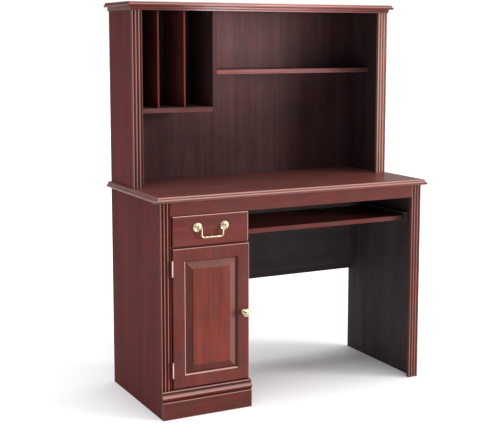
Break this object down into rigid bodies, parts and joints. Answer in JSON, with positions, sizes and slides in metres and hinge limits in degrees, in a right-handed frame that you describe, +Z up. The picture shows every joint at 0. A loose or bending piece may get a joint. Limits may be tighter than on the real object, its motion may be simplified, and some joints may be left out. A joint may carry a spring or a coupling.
{
  "type": "computer desk with hutch and keyboard tray",
  "caption": "Pedestal computer desk with a raised hutch, fluted pilasters, a drawer over a panelled door and a sliding keyboard tray under the apron.",
  "frame": {"origin": "on the floor, below the middle of the object's bounding box", "axes": "+Z up; the desk faces -Y; +X to the sitter's right"},
  "size_m": [1.074, 0.495, 1.389],
  "materials": {
    "cherry_veneer": "satin",
    "drawer_box_board": "satin",
    "backing_board": "matte",
    "beech": "matte",
    "brass": "polished",
    "hinge_brass": "satin",
    "zinc_steel": "satin",
    "coated_steel": "satin",
    "nylon": "satin",
    "catch_plastic": "satin"
  },
  "bodies": {
    "desk": {"desk_top": "cherry_veneer", "left_side_panel": "cherry_veneer", "right_leg_panel": "cherry_veneer", "pedestal_partition": "cherry_veneer", "left_pilaster": "cherry_veneer", "right_pilaster": "cherry_veneer", "apron_rail": "cherry_veneer", "plinth_board": "cherry_veneer", "plinth_cap_moulding": "cherry_veneer", "pedestal_bottom": "cherry_veneer", "drawer_divider": "cherry_veneer", "pedestal_back": "backing_board", "cupboard_shelf": "cherry_veneer", "shelf_pins": "zinc_steel", "modesty_panel": "cherry_veneer", "slide_spacers": "cherry_veneer", "door_catch": "catch_plastic", "drawer_slide_channels": "coated_steel", "tray_slide_channels": "coated_steel", "hutch_top": "cherry_veneer", "cornice_moulding": "cherry_veneer", "hutch_left_side": "cherry_veneer", "hutch_right_side": "cherry_veneer", "hutch_left_pilaster": "cherry_veneer", "hutch_right_pilaster": "cherry_veneer", "hutch_back": "backing_board", "hutch_divider": "cherry_veneer", "hutch_left_shelf": "cherry_veneer", "hutch_right_shelf": "cherry_veneer", "slot_dividers": "cherry_veneer", "cam_locks": "zinc_steel", "cam_bolts": "zinc_steel", "hutch_dowels": "beech", "frame_screws": "zinc_steel", "back_panel_nails": "zinc_steel", "hinge_frame_leaves": "hinge_brass"},
    "drawer": {"drawer_front": "cherry_veneer", "drawer_left_side": "drawer_box_board", "drawer_right_side": "drawer_box_board", "drawer_back": "drawer_box_board", "drawer_bottom": "drawer_box_board", "drawer_runners": "coated_steel", "pull_posts": "brass", "drawer_screws": "zinc_steel"},
    "bail": {"drawer_bail": "brass"},
    "door": {"door_left_stile": "cherry_veneer", "door_right_stile": "cherry_veneer", "door_top_rail": "cherry_veneer", "door_bottom_rail": "cherry_veneer", "door_panel": "cherry_veneer", "door_knob": "brass", "strike_plate": "zinc_steel", "hinge_door_leaves": "hinge_brass", "door_screws": "zinc_steel"},
    "tray": {"keyboard_tray": "cherry_veneer", "tray_runners": "coated_steel"},
    "drawer_front_rollers": {"drawer_front_rollers": "nylon"},
    "drawer_rear_rollers": {"drawer_rear_rollers": "nylon"},
    "tray_front_rollers": {"tray_front_rollers": "nylon"},
    "tray_rear_rollers": {"tray_rear_rollers": "nylon"}
  },
  "joints": [
    {"name": "drawer_slide", "type": "slide", "parent": "desk", "child": "drawer", "axis": [0, -1, 0], "range_m": [0, 0.28]},
    {"name": "bail_swing", "type": "hinge", "parent": "drawer", "child": "bail", "pos_m": [-0.33725, -0.2335, 0.642], "axis": [-1, 0, 0], "range_deg": [0, 95]},
    {"name": "door_hinge", "type": "hinge", "parent": "desk", "child": "door", "pos_m": [-0.47875, -0.2223, 0.33725], "axis": [0, 0, -1], "range_deg": [0, 165]},
    {"name": "tray_slide", "type": "slide", "parent": "desk", "child": "tray", "axis": [0, -1, 0], "range_m": [0, 0.23]},
    {"name": "drawer_front_roll", "type": "hinge", "parent": "desk", "child": "drawer_front_rollers", "pos_m": [-0.205, -0.1835, 0.604], "axis": [1, 0, 0], "range_deg": [0, 2112.9]},
    {"name": "drawer_rear_roll", "type": "hinge", "parent": "drawer", "child": "drawer_rear_rollers", "pos_m": [-0.205, 0.1655, 0.604], "axis": [1, 0, 0], "range_deg": [0, 2112.9]},
    {"name": "tray_front_roll", "type": "hinge", "parent": "desk", "child": "tray_front_rollers", "pos_m": [0.503, -0.1585, 0.604], "axis": [1, 0, 0], "range_deg": [0, 1736]},
    {"name": "tray_rear_roll", "type": "hinge", "parent": "tray", "child": "tray_rear_rollers", "pos_m": [0.503, 0.1045, 0.604], "axis": [1, 0, 0], "range_deg": [0, 1736]}
  ],
  "couplings": [
    {"joint": "drawer_front_roll", "follows": "drawer_slide", "rad_per_m": 131.58},
    {"joint": "drawer_rear_roll", "follows": "drawer_slide", "rad_per_m": 131.58},
    {"joint": "tray_front_roll", "follows": "tray_slide", "rad_per_m": 131.58},
    {"joint": "tray_rear_roll", "follows": "tray_slide", "rad_per_m": 131.58}
  ]
}
